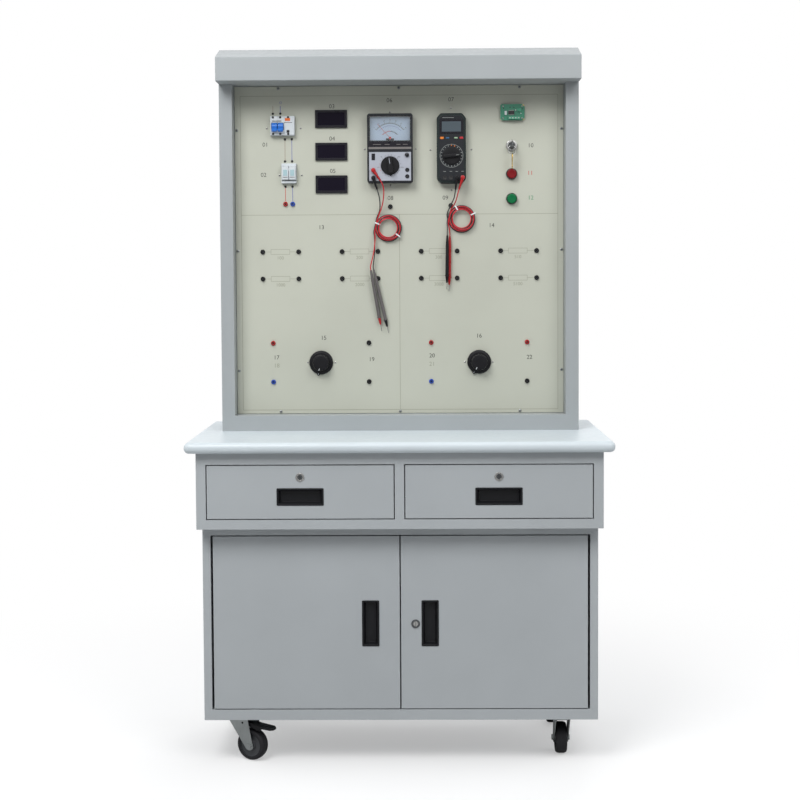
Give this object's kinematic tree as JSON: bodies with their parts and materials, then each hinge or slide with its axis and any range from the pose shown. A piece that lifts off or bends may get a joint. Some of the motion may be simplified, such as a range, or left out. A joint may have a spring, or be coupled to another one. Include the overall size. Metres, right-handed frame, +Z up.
{
  "type": "electrical training cabinet",
  "caption": "Wheeled steel training cabinet with worktop, drawers, cupboard and an upright instrument panel with meters, sockets, regulators and test leads.",
  "frame": {"origin": "on the floor under the middle of the cabinet's overall box", "axes": "+Z up, -Y towards the person at the worktop, +X to that person's right"},
  "size_m": [1, 0.5, 1.723],
  "materials": {
    "worktop_board": "laminated board, pale grey",
    "grey_steel": "pale grey powder coat",
    "housing_steel": "pale grey powder coat",
    "zinc_steel": "zinc plated pressing",
    "panel_sheet": "pale cream enamel",
    "bright_steel": "bright plated",
    "black_plastic": "moulded, satin",
    "dark_plastic": "moulded, satin",
    "red_plastic": "moulded",
    "blue_plastic": "moulded",
    "green_plastic": "moulded",
    "orange_plastic": "moulded",
    "white_plastic": "moulded",
    "toggle_plastic": "moulded",
    "holster_rubber": "soft holster",
    "key_rubber": "soft keys",
    "clear_window": "clear window",
    "green_board": "circuit board",
    "winding": "varnished copper winding",
    "wheel_rubber": "moulded tread",
    "brass": "worn",
    "red_wire": "flexible lead",
    "black_wire": "flexible lead"
  },
  "bodies": {
    "cabinet": {"worktop": "worktop_board", "drawer_case": "grey_steel", "base_cabinet": "grey_steel", "cabinet_shelf": "grey_steel", "caster_plates": "zinc_steel", "upper_frame": "housing_steel", "hood": "housing_steel", "back_cover": "housing_steel", "instrument_panel": "panel_sheet", "panel_screws": "bright_steel", "jacks_black": "black_plastic", "jacks_red": "red_plastic", "jacks_blue": "blue_plastic", "panel_meters": "black_plastic", "instrument_windows": "clear_window", "breaker_body": "white_plastic", "fuse_base": "white_plastic", "analog_case": "dark_plastic", "dmm_case": "holster_rubber", "dmm_keys": "key_rubber", "circuit_module": "green_board", "switch_bezels": "bright_steel", "autotransformers": "winding", "lead_runs_red": "red_wire", "lead_runs_black": "black_wire", "lead_coils": "black_wire", "lead_ends_red": "red_wire", "lead_ends_black": "black_wire"},
    "door_left": {"door_left": "grey_steel", "door_pull_left": "black_plastic"},
    "door_right": {"door_right": "grey_steel", "door_pull_right": "black_plastic"},
    "door_lock": {"door_lock": "bright_steel"},
    "drawer_left": {"drawer_left": "grey_steel", "drawer_pull_left": "black_plastic"},
    "drawer_lock_left": {"drawer_lock_left": "bright_steel"},
    "caster_fork_left": {"caster_fork_left": "zinc_steel"},
    "caster_brake_left": {"caster_brake_left": "black_plastic"},
    "regulator_knob_left": {"regulator_knob_left": "black_plastic"},
    "drawer_right": {"drawer_right": "grey_steel", "drawer_pull_right": "black_plastic"},
    "drawer_lock_right": {"drawer_lock_right": "bright_steel"},
    "caster_fork_right": {"caster_fork_right": "zinc_steel"},
    "caster_brake_right": {"caster_brake_right": "black_plastic"},
    "regulator_knob_right": {"regulator_knob_right": "black_plastic"},
    "caster_wheel_front_left": {"caster_wheel_front_left": "wheel_rubber"},
    "caster_wheel_front_right": {"caster_wheel_front_right": "wheel_rubber"},
    "caster_wheel_back_left": {"caster_wheel_back_left": "wheel_rubber"},
    "caster_wheel_back_right": {"caster_wheel_back_right": "wheel_rubber"},
    "start_button": {"start_button": "green_plastic"},
    "stop_button": {"stop_button": "red_plastic"},
    "switch_key": {"switch_key": "bright_steel"},
    "spare_key": {"spare_key": "brass"},
    "breaker_toggle": {"breaker_toggle": "toggle_plastic"},
    "breaker_test_button": {"breaker_test_button": "orange_plastic"},
    "fuse_carriers": {"fuse_carriers": "white_plastic"},
    "analog_range_knob": {"analog_range_knob": "black_plastic"},
    "analog_zero_knob": {"analog_zero_knob": "black_plastic"},
    "analog_needle": {"analog_needle": "red_plastic"},
    "dmm_dial": {"dmm_dial": "black_plastic"}
  },
  "joints": [
    {"name": "door_left_hinge", "type": "hinge", "parent": "cabinet", "child": "door_left", "pos_m": [-0.4345, -0.171, 0.344], "axis": [0, 0, -1], "range_deg": [0, 110]},
    {"name": "door_right_hinge", "type": "hinge", "parent": "cabinet", "child": "door_right", "pos_m": [0.4345, -0.171, 0.344], "axis": [0, 0, 1], "range_deg": [0, 110]},
    {"name": "door_lock_turn", "type": "hinge", "parent": "door_right", "child": "door_lock", "pos_m": [0.036, -0.18, 0.341], "axis": [0, 1, 0], "range_deg": [0, 90]},
    {"name": "drawer_left_slide", "type": "slide", "parent": "cabinet", "child": "drawer_left", "axis": [0, -1, 0], "range_m": [0, 0.32]},
    {"name": "drawer_lock_left_turn", "type": "hinge", "parent": "drawer_left", "child": "drawer_lock_left", "pos_m": [-0.2315, -0.225, 0.69725], "axis": [0, -1, 0], "range_deg": [0, 90]},
    {"name": "drawer_right_slide", "type": "slide", "parent": "cabinet", "child": "drawer_right", "axis": [0, -1, 0], "range_m": [0, 0.32]},
    {"name": "drawer_lock_right_turn", "type": "hinge", "parent": "drawer_right", "child": "drawer_lock_right", "pos_m": [0.2315, -0.225, 0.69725], "axis": [0, -1, 0], "range_deg": [0, 90]},
    {"name": "caster_left_swivel", "type": "hinge", "parent": "cabinet", "child": "caster_fork_left", "pos_m": [-0.388, -0.118, 0.1075], "axis": [0, 0, 1], "continuous": true},
    {"name": "caster_left_axle", "type": "hinge", "parent": "caster_fork_left", "child": "caster_wheel_front_left", "pos_m": [-0.359, -0.13152, 0.0375], "axis": [0.4226, 0.9063, 0], "continuous": true},
    {"name": "caster_left_brake", "type": "hinge", "parent": "caster_fork_left", "child": "caster_brake_left", "pos_m": [-0.37531, -0.12392, 0.091], "axis": [0.4226, 0.9063, 0], "range_deg": [0, 4]},
    {"name": "caster_right_swivel", "type": "hinge", "parent": "cabinet", "child": "caster_fork_right", "pos_m": [0.388, -0.118, 0.1075], "axis": [0, 0, 1], "continuous": true},
    {"name": "caster_right_axle", "type": "hinge", "parent": "caster_fork_right", "child": "caster_wheel_front_right", "pos_m": [0.388, -0.086, 0.0375], "axis": [-1, 0, 0], "continuous": true},
    {"name": "caster_right_brake", "type": "hinge", "parent": "caster_fork_right", "child": "caster_brake_right", "pos_m": [0.388, -0.104, 0.091], "axis": [-1, 0, 0], "range_deg": [0, 4]},
    {"name": "caster_back_left_axle", "type": "hinge", "parent": "cabinet", "child": "caster_wheel_back_left", "pos_m": [-0.388, 0.15, 0.0375], "axis": [1, 0, 0], "continuous": true},
    {"name": "caster_back_right_axle", "type": "hinge", "parent": "cabinet", "child": "caster_wheel_back_right", "pos_m": [0.388, 0.15, 0.0375], "axis": [1, 0, 0], "continuous": true},
    {"name": "regulator_left_turn", "type": "hinge", "parent": "cabinet", "child": "regulator_knob_left", "pos_m": [-0.198, 0.045, 0.948], "axis": [0, 1, 0], "range_deg": [-3.5, 296.5]},
    {"name": "regulator_right_turn", "type": "hinge", "parent": "cabinet", "child": "regulator_knob_right", "pos_m": [0.198, 0.045, 0.948], "axis": [0, 1, 0], "range_deg": [-17, 283]},
    {"name": "stop_button_press", "type": "slide", "parent": "cabinet", "child": "stop_button", "axis": [0, 1, 0], "range_m": [0, 0.004], "stiffness_N_per_m": 600, "springref_m": -0.002},
    {"name": "start_button_press", "type": "slide", "parent": "cabinet", "child": "start_button", "axis": [0, 1, 0], "range_m": [0, 0.004], "stiffness_N_per_m": 600, "springref_m": -0.002},
    {"name": "switch_key_turn", "type": "hinge", "parent": "cabinet", "child": "switch_key", "pos_m": [0.28, 0.045, 1.486], "axis": [0, 1, 0], "range_deg": [0, 90]},
    {"name": "spare_key_swing", "type": "hinge", "parent": "switch_key", "child": "spare_key", "pos_m": [0.28, 0.0215, 1.4838], "axis": [1, 0, 0], "range_deg": [-60, 10]},
    {"name": "breaker_toggle_throw", "type": "hinge", "parent": "cabinet", "child": "breaker_toggle", "pos_m": [-0.301, 0.035, 1.536], "axis": [-1, 0, 0], "range_deg": [0, 84]},
    {"name": "breaker_test_press", "type": "slide", "parent": "cabinet", "child": "breaker_test_button", "axis": [0, 1, 0], "range_m": [0, 0.0015], "stiffness_N_per_m": 400, "springref_m": -0.001},
    {"name": "fuse_carriers_tip", "type": "hinge", "parent": "cabinet", "child": "fuse_carriers", "pos_m": [-0.274, 0.0345, 1.4065], "axis": [1, 0, 0], "range_deg": [0, 45]},
    {"name": "analog_range_turn", "type": "hinge", "parent": "cabinet", "child": "analog_range_knob", "pos_m": [-0.022, 0.021, 1.437], "axis": [0, 1, 0], "continuous": true},
    {"name": "analog_zero_turn", "type": "hinge", "parent": "cabinet", "child": "analog_zero_knob", "pos_m": [0.02, 0.021, 1.463], "axis": [0, 1, 0], "range_deg": [-135, 135]},
    {"name": "analog_needle_swing", "type": "hinge", "parent": "cabinet", "child": "analog_needle", "pos_m": [-0.022, 0.028, 1.5055], "axis": [0, 1, 0], "range_deg": [0, 84], "stiffness_Nm_per_rad": 0.00002},
    {"name": "dmm_dial_turn", "type": "hinge", "parent": "cabinet", "child": "dmm_dial", "pos_m": [0.13, 0.02, 1.46], "axis": [0, 1, 0], "continuous": true}
  ]
}
